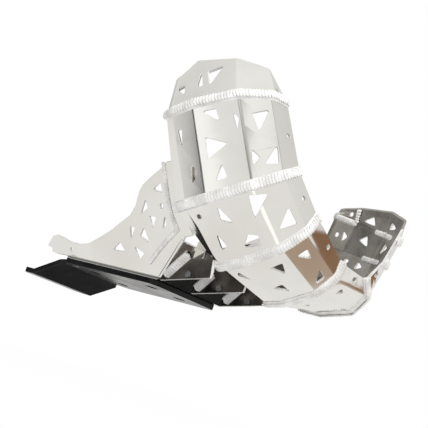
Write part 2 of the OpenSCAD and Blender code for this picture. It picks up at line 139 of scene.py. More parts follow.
# The camera, fitted to the photograph: the last two are the directions across the picture and back from it.
CAMERA_PLACE = (-1.091, -1.089, -0.126)
CAMERA_ACROSS = (0.597, -0.739, 0.312)
CAMERA_BACK = (-0.732, -0.661, -0.167)
SENSOR_WIDTH = 36
FOCAL_LENGTH = 85.3

# The key light: place, width and height, and watts.
KEY_PLACE = (-0.9, -1.6, 1.6)
KEY_SIZE = (1.6, 1.0)
KEY_POWER = 36

# The floor: its side, its height, how white the camera sees it and how much of the shadow shows.
FLOOR_SIZE = 16
FLOOR_HEIGHT = -0.3
FLOOR_WHITE = 1.03
FLOOR_SHADOW = 0.12

# Grey levels of the room that the sheet mirrors, as (place, level). POSTS goes round at eye level; ROOM and
# EYE_LEVEL go up from 0, straight down, to 1, straight up.
POSTS = (
    (0.0, 0.8), (0.18, 0.7), (0.21, 0.32), (0.27, 0.32), (0.3, 0.62), (0.345, 0.2), (0.37, 0.2),
    (0.385, 0.1), (0.41, 0.1), (0.43, 0.4), (0.445, 0.1), (0.478, 0.1), (0.486, 1.05), (0.5, 0.86),
    (0.53, 0.8), (0.54, 0.3), (0.59, 0.12), (0.6, 1.0), (0.635, 1.0), (0.67, 0.8),
)
ROOM = ((0.0, 0.88), (0.5, 0.84), (0.7, 0.82), (0.8, 0.76), (0.88, 0.74), (0.93, 0.9), (1.0, 0.9))
EYE_LEVEL = ((0.34, 0.0), (0.42, 1.0), (0.62, 1.0), (0.71, 0.0))
# The greys are a little warm: this is their blue.
GREY_BLUE = 0.985

# Studio boards, each placed where one facet mirrors it: name, centre, point it faces, up, width, height,
# grey steps across and tint.
BOARDS = (
    # Dark mats under the front: the ramp and the gussets mirror them.
    ("dark_mat", (0.02, -0.138, -0.012), (0.02, -0.138, 1), (0, 1, 0), 0.2, 0.08,
     ((0, 0.012), (1, 0.012)), "#ffffff"),
    ("side_mat", (-0.11, -0.124, -0.012), (-0.11, -0.124, 1), (0, 1, 0), 0.06, 0.052,
     ((0, 0.02), (1, 0.02)), "#ffffff"),
    # A dark mat below and behind the flap, out of the flat underside's sight.
    ("flap_mat", (0.19, 0.27, -0.15), (0.19, 0.27, 1), (0, 1, 0), 0.34, 0.24,
     ((0, 0.1), (1, 0.1)), "#ffffff"),
    # A warm crate on the front left and a paler one below it: the fourth guard section mirrors both.
    ("crate", (0.236, -0.484, 0.055), (0.01, -0.309, 0.09), (0, 0, 1), 0.14, 0.29,
     ((0, 1), (1, 1)), "#88674f"),
    ("pale_crate", (0.152, -0.476, -0.1), (0.01, -0.3, 0.08), (0, 0, 1), 0.16, 0.11,
     ((0, 1), (1, 1)), "#af9a88"),
    # The right of the room: darker towards the front for the second section's side, then its main facet.
    ("side_board", (-0.515, -0.025, 0.11), (-0.163, -0.205, 0.17), (-0.32, 0, 0.95), 0.19, 0.28,
     ((0, 0.12), (0.53, 0.12), (0.57, 0.42), (0.67, 0.6), (0.78, 0.7), (0.88, 0.8), (1, 0.8)), "#ffffff"),
    ("main_board", (-0.54, -0.205, 0.2), (-0.14, -0.205, 0.2), (0, 0.117, 0.99), 0.13, 0.26,
     ((0, 0.82), (0.55, 0.84), (0.64, 1.08), (1, 1.1)), "#ffffff"),
    # A bright board in front of the second section's third facet, falling off to its far side.
    ("bright_board", (-0.378, -0.484, 0.4), (-0.118, -0.254, 0.204), (0.12, 0.23, 0.97), 0.24, 0.36,
     ((0, 0.5), (0.12, 0.6), (0.25, 0.9), (0.42, 0.95), (0.58, 1.02), (0.64, 0.6), (1, 0.5)), "#ffffff"),
    # A low light board between the third section's lower facets.
    ("low_board", (-0.277, -0.515, -0.138), (-0.085, -0.275, 0.11), (0, 0, 1), 0.2, 0.2,
     ((0, 1.2), (1, 1.2)), "#ffffff"),
)


# ---------------------------------------------------------------- the guard's path


def rad(degrees):
    """Degrees to radians."""
    return math.radians(degrees)


def turned(axes, turn):
    """The three axes turned about the vector turn, by its length in degrees."""
    if turn.length < 0.01:
        return axes
    matrix = Matrix.Rotation(rad(turn.length), 3, turn.normalized())
    return [matrix @ v for v in axes]


def section_axes():
    """For each section, its across, outward and along directions."""
    rx, ry, rz = (rad(a) for a in START_TURN)
    first = Matrix.Rotation(rz, 3, "Z") @ Matrix.Rotation(ry, 3, "Y") @ Matrix.Rotation(rx, 3, "X")
    axes = [[first @ Vector(v) for v in ((1, 0, 0), (0, -1, 0), (0, 0, -1))]]
    for k in range(SECTIONS - 1):
        a = axes[-1]
        axes.append(turned(a, TURN_OUT[k] * a[0] + TURN_SIDE[k] * a[1] + TURN_ROLL[k] * a[2]))
    return axes


AXES = section_axes()


def ring_centre(k):
    """The middle of ring k, in mm."""
    centre = START.copy()
    for i in range(k):
        centre += AXES[i][2] * SECTION_LENGTH[i]
    return centre


def ring_axes(k):
    """The axes of the mitre plane at an inner ring."""
    return [(AXES[k - 1][i] + AXES[k][i]).normalized() for i in range(3)]


def facet_way(lean):
    """The direction across a facet, as (across, outward)."""
    return Vector((math.cos(rad(lean)), -math.sin(rad(lean))))


def facet_normal(lean):
    """The direction out of a facet, as (across, outward)."""
    return Vector((math.sin(rad(lean)), math.cos(rad(lean))))


def corners(k):
    """The six corners of the folded profile at ring k, as (across, outward) in mm."""
    scale = RING_SCALE[k]
    left, right = Vector((-FACET_WIDTH[1] / 2, 0)) * scale, Vector((FACET_WIDTH[1] / 2, 0)) * scale
    side = left - FACET_WIDTH[0] * scale * facet_way(LEAN[1])
    lip = side - LIP_WIDTH[k] * facet_way(LEAN[0])
    far = right + FACET_WIDTH[2] * scale * facet_way(LEAN[3])
    edge = far + FACET_WIDTH[3] * scale * facet_way(LEAN[4])
    return [lip, side, left, right, far, edge]


def profile(k):
    """Points of the folded profile, each with its outward normal: three at every fold."""
    points = corners(k)
    out = [(points[0], facet_normal(LEAN[0]))]
    for i in range(1, 5):
        before, after = LEAN[i - 1], LEAN[i]
        half = rad(after - before) / 2
        back = FOLD_RADIUS * math.tan(half)
        depth = FOLD_RADIUS / math.cos(half) - FOLD_RADIUS
        middle = facet_normal((before + after) / 2)
        out.append((points[i] - back * facet_way(before), facet_normal(before)))
        out.append((points[i] - depth * middle, middle))
        out.append((points[i] + back * facet_way(after), facet_normal(after)))
    out.append((points[5], facet_normal(LEAN[4])))
    return out


def ring_line(k, inset):
    """Ring k as (place, outward normal), at an inset in mm from the outer face."""
    axes = ring_axes(k)
    side = 1 / math.cos(rad(TURN_SIDE[k - 1]) / 2)
    out = 1 / math.cos(rad(TURN_OUT[k - 1]) / 2)
    line = []
    for point, normal in profile(k):
        p = point - inset * normal
        place = ring_centre(k) + p[0] * side * axes[0] + p[1] * out * axes[1]
        line.append((place * MM, (normal[0] * axes[0] + normal[1] * axes[1]).normalized()))
    return line


def facing(face, k):
    """How straight a face of section k looks out of the guard: 1 is out, 0 along and -1 in."""
    _, outward, along = AXES[k - 1]
    reach = face.center - (ring_centre(k - 1) - CHANNEL_MIDDLE * outward) * MM
    return face.normal.dot((reach - reach.dot(along) * along).normalized())


# ---------------------------------------------------------------- where the other welds run


def ramp_point(x, s, n):
    """A place on the ramp: x across, s up the slope and n out of its front face, in mm."""
    a = rad(RAMP_ANGLE)
    y = -BASE_FRONT - s * math.cos(a) - n * math.sin(a)
    z = s * math.sin(a) - n * math.cos(a)
    return Vector((x, y, z)) * MM


def wing_axes(side):
    """The directions out of and up the right wing (side -1) or the left one (side 1)."""
    s, c = math.sin(rad(WING_LEAN)), math.cos(rad(WING_LEAN))
    return Vector((side * c, 0, -s)), Vector((side * s, 0, c))


def stitch_lines():
    """The stitches on the guard's inside, as lines of (place, normal)."""
    lines = []
    for k, first, last, before, after in STITCHES:
        line = ring_line(k, SHEET + STITCH_BEAD)
        (a, normal_a), (b, normal_b) = line[first], line[last]
        start = a + (line[first - 1][0] - a).normalized() * before * MM
        end = b + (line[last + 1][0] - b).normalized() * after * MM
        stitch = [(start, normal_a)] * (before > 0) + line[first : last + 1] + [(end, normal_b)] * (after > 0)
        lines.append([(place, -normal) for place, normal in stitch])
    point, start, end = FOLD_STITCH
    place, normal = ring_line(SECTIONS - 1, SHEET + STITCH_BEAD)[point]
    along = AXES[SECTIONS - 1][2]
    lines.append([(place + along * reach * MM, -normal) for reach in (start, end)])
    return lines


def wing_line():
    """The weld on the right wing's face, as (place, normal)."""
    out, up = wing_axes(-1)
    foot = Vector((-BASE_WIDTH / 2, 0, SHEET)) + WING_BEAD * out
    return [((foot + Vector((0, along, 0)) + rise * up) * MM, out) for along, rise in WING_WELD]


def gusset_lines():
    """The fillets on both sides of each gusset, as lines of (place, normal) up the ramp."""
    front = Vector((0, -math.sin(rad(RAMP_ANGLE)), -math.cos(rad(RAMP_ANGLE))))
    beside, above = GUSSET_BEAD
    lines = []
    for x, top in GUSSET_WELDS:
        for side in (-1, 1):
            normal = (front + Vector((side, 0, 0))).normalized()
            lines.append([(ramp_point(x + side * beside, s, above), normal) for s in (GUSSET_WELD_FOOT, top)])
    return lines


# ---------------------------------------------------------------- colours and materials


def colour(code):
    """An sRGB hex code as linear RGBA."""
    values = [int(code[i : i + 2], 16) / 255 for i in (1, 3, 5)]
    return tuple(v / 12.92 if v <= 0.04045 else ((v + 0.055) / 1.055) ** 2.4 for v in values) + (1.0,)


def add(tree, kind, inputs=None, stops=(), **settings):
    """Add a node to a tree with its own settings.

    Each input gets a number, a colour or a link. A colour ramp also gets its stops, as (place, grey level).
    """
    node = tree.nodes.new(kind)
    for name, value in settings.items():
        setattr(node, name, value)
    for name, value in (inputs or {}).items():
        if isinstance(value, bpy.types.NodeSocket):
            tree.links.new(value, node.inputs[name])
        else:
            node.inputs[name].default_value = value
    # A new ramp has two steps.
    for _ in stops[2:]:
        node.color_ramp.elements.new(0.5)
    for i, (place, level) in enumerate(stops):
        node.color_ramp.elements[i].position = place
        node.color_ramp.elements[i].color = (level, level, level * GREY_BLUE, 1.0)
    return node


def new_material(name):
    """An empty node material, its tree and its shader."""
    material = bpy.data.materials.new(name)
    material.use_nodes = True
    return material, material.node_tree, material.node_tree.nodes["Principled BSDF"]


def finish(tree, shader, colours, roughness, relief, strength, depth=FINE):
    """Finish a shader: a pattern with its two colours, a pattern with its two roughnesses, and a relief."""
    pattern, low, high = colours
    tones = {"Factor": pattern, "A": tuple(low), "B": tuple(high)}
    tint = add(tree, "ShaderNodeMix", tones, data_type="RGBA")
    tree.links.new(tint.outputs["Result"], shader.inputs["Base Color"])
    pattern, low, high = roughness
    gloss = add(tree, "ShaderNodeMapRange", {"Value": pattern, "To Min": low, "To Max": high})
    tree.links.new(gloss.outputs["Result"], shader.inputs["Roughness"])
    bump = add(tree, "ShaderNodeBump", {"Height": relief, "Strength": strength, "Distance": depth})
    tree.links.new(bump.outputs["Normal"], shader.inputs["Normal"])


def polished_aluminium(props):
    """Rolled aluminium sheet, polished: near mirror, with faint rolling lines and the smears of handling."""
    material, tree, shader = new_material("polished_aluminium")
    shader.inputs["Metallic"].default_value = 1.0
    place = add(tree, "ShaderNodeTexCoord").outputs["Object"]
    # Smears as wide as a palm, about 110 mm.
    smears = add(tree, "ShaderNodeTexNoise", {"Vector": place, "Scale": 9.0, "Detail": 4.0}).outputs["Fac"]
    smears = add(tree, "ShaderNodeMapRange", {"Value": smears, **STRETCH}).outputs["Result"]
    # Rolling lines: real ones are 0.1 mm apart, drawn at about 1 mm so that they show.
    fine = add(tree, "ShaderNodeMapping", {"Vector": place, "Scale": (90.0, 900.0, 90.0)}).outputs["Vector"]
    lines = add(tree, "ShaderNodeTexNoise", {"Vector": fine, "Scale": 1.0, "Detail": 2.0}).outputs["Fac"]
    # The smears make it a little smoother or rougher than the setting says.
    smooth, rough = props.metal_roughness * 0.75, props.metal_roughness * 1.3
    finish(tree, shader, (smears, props.metal_dark, props.metal), (smears, smooth, rough), lines, 0.06)
    return material


def unpolished(name, light, dark):
    """Aluminium sheet as rolled: a grey oxide skin that mirrors only broad shapes, in two greys; for the
    gussets both greys are dark, as painted shade.
    """
    material, tree, shader = new_material(name)
    shader.inputs["Metallic"].default_value = 1.0
    place = add(tree, "ShaderNodeTexCoord").outputs["Object"]
    # Patches of about 25 mm.
    patches = add(tree, "ShaderNodeTexNoise", {"Vector": place, "Scale": 40.0, "Detail": 4.0}).outputs["Fac"]
    patches = add(tree, "ShaderNodeMapRange", {"Value": patches, **STRETCH}).outputs["Result"]
    finish(tree, shader, (patches, dark, light), (patches, 0.24, 0.34), patches, 0.05)
    return material


def mill_aluminium(props):
    """The guard's inside: mill-finished aluminium, pale grey."""
    return unpolished("mill_aluminium", props.mill, props.mill_dark)


def shade_darkened_aluminium(props):
    """The gussets: mill-finished aluminium, painted dark grey as the shade between them."""
    return unpolished("shade_darkened_aluminium", props.shadowed, props.shadowed_dark)


def aluminium_weld(props):
    """Fresh aluminium weld, laid by hand: satin and granular white, with darker oxide in its hollows."""
    material, tree, shader = new_material("aluminium_weld")
    shader.inputs["Metallic"].default_value = 0.35
    place = add(tree, "ShaderNodeTexCoord").outputs["Object"]
    # Grains of about 2.5 mm and oxide patches of about 17 mm.
    grains = add(tree, "ShaderNodeTexNoise", {"Vector": place, "Scale": 420.0, "Detail": 3.0}).outputs["Fac"]
    gloss = add(tree, "ShaderNodeMapRange", {"Value": grains, **STRETCH}).outputs["Result"]
    oxide = add(tree, "ShaderNodeTexNoise", {"Vector": place, "Scale": 60.0, "Detail": 3.0}).outputs["Fac"]
    oxide = add(tree, "ShaderNodeMapRange", {"Value": oxide, **STRETCH}).outputs["Result"]
    colours = (oxide, props.weld_dark, props.weld)
    finish(tree, shader, colours, (gloss, 0.28, 0.5), grains, 0.4, 0.5 * MM)
    return material


def pressed_polyethylene(props):
    """Black polyethylene plate, pressed and cut: satin, faintly pored, with slightly greyer scuffs."""
    material, tree, shader = new_material("pressed_polyethylene")
    shader.inputs["IOR"].default_value = 1.5
    shader.inputs["Specular IOR Level"].default_value = 0.2
    place = add(tree, "ShaderNodeTexCoord").outputs["Object"]
    # Scuffs of about 30 mm, and pores drawn at about 1 mm, coarser than the real ones, so that they show.
    scuffs = add(tree, "ShaderNodeTexNoise", {"Vector": place, "Scale": 30.0, "Detail": 5.0}).outputs["Fac"]
    scuffs = add(tree, "ShaderNodeMapRange", {"Value": scuffs, **STRETCH}).outputs["Result"]
    pores = add(tree, "ShaderNodeTexNoise", {"Vector": place, "Scale": 900.0, "Detail": 2.0}).outputs["Fac"]
    finish(tree, shader, (scuffs, props.plastic, props.plastic_scuffs), (scuffs, 0.18, 0.28), pores, 0.15)
    return material


def zinc_plated_steel(props):
    """Zinc-plated steel fasteners, turned and dipped: duller and a little bluer than the sheet."""
    material, tree, shader = new_material("zinc_plated_steel")
    shader.inputs["Metallic"].default_value = 1.0
    place = add(tree, "ShaderNodeTexCoord").outputs["Object"]
    # Mottling of about 3 mm.
    mottled = add(tree, "ShaderNodeTexNoise", {"Vector": place, "Scale": 300.0, "Detail": 3.0}).outputs["Fac"]
    mottled = add(tree, "ShaderNodeMapRange", {"Value": mottled, **STRETCH}).outputs["Result"]
    finish(tree, shader, (mottled, props.steel_dark, props.steel), (mottled, 0.25, 0.42), mottled, 0.08)
    return material


def material_of(props, name):
    """The named material, made on first use."""
    makers = {
        "polished_aluminium": polished_aluminium,
        "mill_aluminium": mill_aluminium,
        "shade_darkened_aluminium": shade_darkened_aluminium,
        "aluminium_weld": aluminium_weld,
        "pressed_polyethylene": pressed_polyethylene,
        "zinc_plated_steel": zinc_plated_steel,
    }
    return bpy.data.materials.get(name) or makers[name](props)


# ---------------------------------------------------------------- making pieces


def new_object(name, data):
    """A new object in the scene, at the origin."""
    obj = bpy.data.objects.new(name, data)
    bpy.context.scene.collection.objects.link(obj)
    return obj


def plain_mesh(obj, name):
    """The object's evaluated mesh as a new plain object at the origin; the old object goes."""
    graph = bpy.context.evaluated_depsgraph_get()
    mesh = bpy.data.meshes.new_from_object(obj.evaluated_get(graph))
    mesh.name = name
    piece = new_object(name, mesh)
    bpy.data.objects.remove(obj)
    return piece


def dressed(node, material, edge):
    """A CAD node's own shape with its flat faces joined and its sharp edges eased."""
    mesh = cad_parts[node].data.copy()
    mesh.materials.clear()
    bm = bmesh.new()
    bm.from_mesh(mesh)
    bmesh.ops.remove_doubles(bm, verts=bm.verts, dist=MERGED)
    bmesh.ops.dissolve_degenerate(bm, edges=bm.edges, dist=SLIVER)
    bmesh.ops.dissolve_limit(bm, angle_limit=rad(FLAT_ANGLE), verts=bm.verts, edges=bm.edges)
    bmesh.ops.recalc_face_normals(bm, faces=bm.faces)
    bm.to_mesh(mesh)
    bm.free()
    for polygon in mesh.polygons:
        polygon.use_smooth = True
    mesh.set_sharp_from_angle(angle=rad(SMOOTH_ANGLE))
    mesh.materials.append(material)
    obj = new_object(node + "_raw", mesh)
    ease = obj.modifiers.new("ease", "BEVEL")
    ease.width = edge
    ease.segments = 2
    ease.limit_method = "ANGLE"
    ease.angle_limit = rad(EASE_ANGLE)
    ease.use_clamp_overlap = False
    obj.modifiers.new("normals", "WEIGHTED_NORMAL").keep_sharp = True
    piece = plain_mesh(obj, node + "_skin")
    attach(piece, "root")
    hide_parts(node)
    return piece


def refinish(piece, material, chosen):
    """Give the faces that the test picks another material."""
    piece.data.materials.append(material)
    for face in piece.data.polygons:
        if chosen(face):
            face.material_index = len(piece.data.materials) - 1


def ripple_tree():
    """Geometry Nodes: leaning, flattened beads at an even pitch along a line, each standing outwards."""
    if "weld_ripples" in bpy.data.node_groups:
        return bpy.data.node_groups["weld_ripples"]
    tree = bpy.data.node_groups.new("weld_ripples", "GeometryNodeTree")
    tree.interface.new_socket("Geometry", in_out="INPUT", socket_type="NodeSocketGeometry")
    for label in ("Pitch", "Half Width", "Half Height"):
        tree.interface.new_socket(label, in_out="INPUT", socket_type="NodeSocketFloat")
    tree.interface.new_socket("Material", in_out="INPUT", socket_type="NodeSocketMaterial")
    tree.interface.new_socket("Geometry", in_out="OUTPUT", socket_type="NodeSocketGeometry")
    given = add(tree, "NodeGroupInput").outputs
    # Points at an even pitch.
    curve = add(tree, "GeometryNodeMeshToCurve", {"Mesh": given["Geometry"]}).outputs["Curve"]
    spaced = add(tree, "GeometryNodeResampleCurve", {"Curve": curve, "Length": given["Pitch"]}, mode="LENGTH")
    # Each bead lies along the line, stands outwards and leans on the one before it.
    outward = add(tree, "GeometryNodeInputNamedAttribute", {"Name": "outward"}, data_type="FLOAT_VECTOR")
    along = add(tree, "GeometryNodeInputTangent").outputs["Tangent"]
    aimed = add(tree, "FunctionNodeAlignRotationToVector", {"Vector": along}, axis="X").outputs["Rotation"]
    stood = add(tree, "FunctionNodeAlignRotationToVector",
                {"Rotation": aimed, "Vector": outward.outputs["Attribute"]}, axis="Z", pivot_axis="X")
    leaning = add(tree, "FunctionNodeRotateRotation",
                  {"Rotation": stood.outputs["Rotation"], "Rotate By": (0.0, rad(RIPPLE_LEAN), 0.0)},
                  rotation_space="LOCAL").outputs["Rotation"]
    # Its size, a little uneven.
    length = add(tree, "ShaderNodeMath", {0: given["Pitch"], 1: RIPPLE_LENGTH}, operation="MULTIPLY")
    size = add(tree, "ShaderNodeCombineXYZ",
               {"X": length.outputs["Value"], "Y": given["Half Width"], "Z": given["Half Height"]})
    hand = add(tree, "FunctionNodeRandomValue", RIPPLE_UNEVEN, data_type="FLOAT")
    size = add(tree, "ShaderNodeVectorMath", {0: size.outputs["Vector"], "Scale": hand.outputs["Value"]},
               operation="SCALE").outputs["Vector"]
    bead = add(tree, "GeometryNodeMeshUVSphere", RIPPLE_FACES).outputs["Mesh"]
    row = add(tree, "GeometryNodeInstanceOnPoints",
              {"Points": spaced.outputs["Curve"], "Instance": bead, "Rotation": leaning, "Scale": size})
    real = add(tree, "GeometryNodeRealizeInstances", {"Geometry": row.outputs["Instances"]})
    smooth = add(tree, "GeometryNodeSetShadeSmooth", {"Geometry": real.outputs["Geometry"]})
    paint = add(tree, "GeometryNodeSetMaterial",
                {"Geometry": smooth.outputs["Geometry"], "Material": given["Material"]})
    add(tree, "NodeGroupOutput", {"Geometry": paint.outputs["Geometry"]})
    return tree


def ripples(name, lines, pitch, half_width, sink, half_height, material):
    """One piece with the ripples of several lines of (place, normal)."""
    points, edges, normals = [], [], []
    for line in lines:
        edges += [(len(points) + i, len(points) + i + 1) for i in range(len(line) - 1)]
        points += [place - sink * normal for place, normal in line]
        normals += [c for _, normal in line for c in normal]
    mesh = bpy.data.meshes.new(name + "_line")
    mesh.from_pydata(points, edges, [])
    mesh.attributes.new("outward", "FLOAT_VECTOR", "POINT").data.foreach_set("vector", normals)
    obj = new_object(name + "_line", mesh)
    modifier = obj.modifiers.new("ripples", "NODES")
    modifier.node_group = ripple_tree()
    values = {"Pitch": pitch, "Half Width": half_width, "Half Height": half_height, "Material": material}
    for socket in modifier.node_group.interface.items_tree:
        if socket.in_out == "INPUT" and socket.name in values:
            modifier[socket.identifier] = values[socket.name]
    piece = plain_mesh(obj, name)
    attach(piece, "root")
    return piece


# ---------------------------------------------------------------- what a user can change


class SkidPlateSettings(bpy.types.PropertyGroup):
    """Sizes and colours of the dressed skid plate."""

    edge: bpy.props.FloatProperty(
        name="Eased edge", description="Width of the eased sheet edges",
        default=0.5 * MM, min=0.1 * MM, max=1.5 * MM, precision=4, unit="LENGTH",
    )
    ripple_pitch: bpy.props.FloatProperty(
        name="Ripple pitch", description="Distance between the ripples of the guard's rings",
        default=4.2 * MM, min=2 * MM, max=8 * MM, precision=4, unit="LENGTH",
    )
    ripple_height: bpy.props.FloatProperty(
        name="Ripple height", description="How far the ripples stand out",
        default=1.3 * MM, min=0.4 * MM, max=2.5 * MM, precision=4, unit="LENGTH",
    )
    metal_roughness: bpy.props.FloatProperty(
        name="Sheet roughness", description="How matt the polished sheet is",
        default=0.11, min=0.02, max=0.6, subtype="FACTOR",
    )
    metal: bpy.props.FloatVectorProperty(
        name="Sheet", description="Colour of the polished sheet", default=colour("#f2f1ed"), **PAINT
    )
    metal_dark: bpy.props.FloatVectorProperty(
        name="Sheet smears", description="Colour of the smears on it", default=colour("#e6e4df"), **PAINT
    )
    mill: bpy.props.FloatVectorProperty(
        name="Guard inside", description="Colour of the guard's inside", default=colour("#c4c0b9"), **PAINT
    )
    mill_dark: bpy.props.FloatVectorProperty(
        name="Guard inside patches", description="Darker patches inside", default=colour("#9d9992"), **PAINT
    )
    # The gussets' two colours are dark greys: painted shade for the dark between them.
    shadowed: bpy.props.FloatVectorProperty(
        name="Gussets", description="Colour of the smoked gussets", default=colour("#7c7872"), **PAINT
    )
    shadowed_dark: bpy.props.FloatVectorProperty(
        name="Gusset patches", description="Darker patches on the gussets", default=colour("#5c5853"), **PAINT
    )
    weld: bpy.props.FloatVectorProperty(
        name="Weld", description="Colour of the welds", default=colour("#fcfcfb"), **PAINT
    )
    weld_dark: bpy.props.FloatVectorProperty(
        name="Weld oxide", description="Colour of the oxide on the welds", default=colour("#dcdbd8"), **PAINT
    )
    plastic: bpy.props.FloatVectorProperty(
        name="Plastic", description="Colour of the plastic bottom", default=colour("#0c0c0d"), **PAINT
    )
    plastic_scuffs: bpy.props.FloatVectorProperty(
        name="Plastic scuffs", description="Colour of the scuffs on it", default=colour("#18191a"), **PAINT
    )
    steel: bpy.props.FloatVectorProperty(
        name="Fasteners", description="Colour of the zinc coat", default=colour("#a9abae"), **PAINT
    )
    steel_dark: bpy.props.FloatVectorProperty(
        name="Zinc mottling", description="Darker mottling of the coat", default=colour("#828488"), **PAINT
    )


# ---------------------------------------------------------------- operators


class SKID_OT_sheet(bpy.types.Operator):
    """Dress the base, the wings, the gussets and the bracket"""

    bl_idname = "skid.sheet"
    bl_label = "Base, wings and gussets"

    def execute(self, context):
        props = context.scene.skid_plate
        metal = material_of(props, "polished_aluminium")
        # The gussets' sheet is dark grey: painted shade for the dark between them.
        shade_grey, bright = material_of(props, "shade_darkened_aluminium"), material_of(props, "aluminium_weld")
        for node in ("base_plate", "top_bracket"):
            dressed(node, metal, props.edge)
        # Cut edges are brushed bright, like the welds.
        for node, side in (("right_wing", -1), ("left_wing", 1)):
            out, _ = wing_axes(side)
            piece = dressed(node, metal, props.edge)
            refinish(piece, bright, lambda face: abs(face.normal.dot(out)) < WING_CUT)
        for node in ("gusset_right", "gusset_middle", "gusset_left"):
            piece = dressed(node, shade_grey, props.edge)
            refinish(piece, bright, lambda face: abs(face.normal.x) < GUSSET_CUT)
        return {"FINISHED"}


class SKID_OT_guard(bpy.types.Operator):
    """Dress the eight folded sections of the pipe guard"""

    bl_idname = "skid.guard"
    bl_label = "Pipe guard"

    def execute(self, context):
        props = context.scene.skid_plate
        metal = material_of(props, "polished_aluminium")
        inside, bright = material_of(props, "mill_aluminium"), material_of(props, "aluminium_weld")
        for k in range(1, SECTIONS + 1):
            edge = props.edge if k < SECTIONS else LAST_SECTION_EDGE
            piece = dressed(f"guard_section_{k}", metal, edge)
            # Only the outside is polished: the inside is as rolled, and the cut edges are brushed bright.
            refinish(piece, inside, lambda face: facing(face, k) < -GUARD_CUT)
            refinish(piece, bright, lambda face: abs(facing(face, k)) <= GUARD_CUT)
        return {"FINISHED"}


class SKID_OT_welds(bpy.types.Operator):
    """Finish the weld beads and lay the ripples on them"""

    bl_idname = "skid.welds"
    bl_label = "Welds"

    def execute(self, context):
        props = context.scene.skid_plate
        metal = material_of(props, "aluminium_weld")
        rings = [f"guard_weld_{k}" for k in range(1, SECTIONS)]
        for node in [*rings, "guard_inner_welds", "wing_welds", "gusset_welds"]:
            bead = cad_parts[node].data
            bead.materials.clear()
            bead.materials.append(metal)
        height = props.ripple_height
        for k, node in enumerate(rings, 1):
            line = ring_line(k, -RING_BEAD)
            ripples(node + "_ripples", [line], props.ripple_pitch, *RING_RIPPLES, height, metal)
        ripples("guard_inner_ripples", stitch_lines(), *STITCH_RIPPLES, height, metal)
        ripples("wing_guard_weld", [wing_line()], *WING_RIPPLES, height + WING_EXTRA_HEIGHT, metal)
        ripples("gusset_weld_ripples", gusset_lines(), *GUSSET_RIPPLES, height, metal)
        return {"FINISHED"}


class SKID_OT_plastic(bpy.types.Operator):
    """Dress the plastic bottom"""

    bl_idname = "skid.plastic"
    bl_label = "Plastic bottom"

    def execute(self, context):
        plastic = material_of(context.scene.skid_plate, "pressed_polyethylene")
        dressed("plastic_bottom", plastic, PLASTIC_EDGE)
        return {"FINISHED"}


class SKID_OT_fasteners(bpy.types.Operator):
    """Dress the screws, nuts and bolts"""

    bl_idname = "skid.fasteners"
    bl_label = "Fasteners"

    def execute(self, context):
        steel = material_of(context.scene.skid_plate, "zinc_plated_steel")
        for node in ("plastic_screws", "plastic_nuts", "gusset_bolts"):
            dressed(node, steel, STEEL_EDGE)
        return {"FINISHED"}


def camera():
    """The photograph's viewpoint: low, from the bike's front right, rolled a little."""
    data = bpy.data.cameras.new("camera")
    data.sensor_width = SENSOR_WIDTH
    data.lens = FOCAL_LENGTH
    data.clip_start = 0.05
    data.clip_end = 60
    back = Vector(CAMERA_BACK).normalized()
    up = back.cross(Vector(CAMERA_ACROSS).normalized()).normalized()
    turn = Matrix((up.cross(back), up, back)).transposed()
    obj = new_object("camera", data)
    obj.matrix_world = Matrix.Translation(CAMERA_PLACE) @ turn.to_4x4()
    bpy.context.scene.camera = obj


def white_world():
    """Plain white behind the object; for light and reflections, a pale room with darker door posts."""
    world = bpy.data.worlds.new("studio")
    bpy.context.scene.world = world
    world.use_nodes = True
    tree = world.node_tree
    tree.nodes.clear()
    place = add(tree, "ShaderNodeTexCoord").outputs["Generated"]
    split = add(tree, "ShaderNodeSeparateXYZ", {"Vector": place}).outputs
    # The way round, from 0 to 1: 0.25 is the bike's rear, 0.5 its right and 0.75 its front.
    angle = add(tree, "ShaderNodeMath", {0: split["Y"], 1: split["X"]}, operation="ARCTAN2").outputs["Value"]
    turns = add(tree, "ShaderNodeMath", {0: angle, 1: 2 * math.pi}, operation="DIVIDE").outputs["Value"]
    way = add(tree, "ShaderNodeMath", {0: turns, 1: 1.0, 2: 0.0}, operation="WRAP").outputs["Value"]
    # The height, from 0 straight down to 1 straight up.
    height = add(tree, "ShaderNodeMath", {0: split["Z"], 1: 0.5, 2: 0.5}, operation="MULTIPLY_ADD")
    height = height.outputs["Value"]
    posts = add(tree, "ShaderNodeValToRGB", {"Fac": way}, POSTS).outputs["Color"]
    room = add(tree, "ShaderNodeValToRGB", {"Fac": height}, ROOM).outputs["Color"]
    band = add(tree, "ShaderNodeValToRGB", {"Fac": height}, EYE_LEVEL).outputs["Color"]
    blend = add(tree, "ShaderNodeMix", {"Factor": band, "A": room, "B": posts}, data_type="RGBA")
    around = add(tree, "ShaderNodeBackground", {"Color": blend.outputs["Result"]}).outputs["Background"]
    seen = add(tree, "ShaderNodeBackground", {"Color": colour("#ffffff")}).outputs["Background"]
    camera_ray = add(tree, "ShaderNodeLightPath").outputs["Is Camera Ray"]
    mix = add(tree, "ShaderNodeMixShader", {"Fac": camera_ray, 1: around, 2: seen}).outputs["Shader"]
    add(tree, "ShaderNodeOutputWorld", {"Surface": mix})


def rectangle(name, width, height, z, material):
    """A flat rectangle in the stage, facing up, with its middle over the origin."""
    mesh = bpy.data.meshes.new(name)
    w, h = width / 2, height / 2
    mesh.from_pydata([(-w, -h, z), (w, -h, z), (w, h, z), (-w, h, z)], [], [(0, 1, 2, 3)])
    mesh.materials.append(material)
    obj = new_object(name, mesh)
    return obj


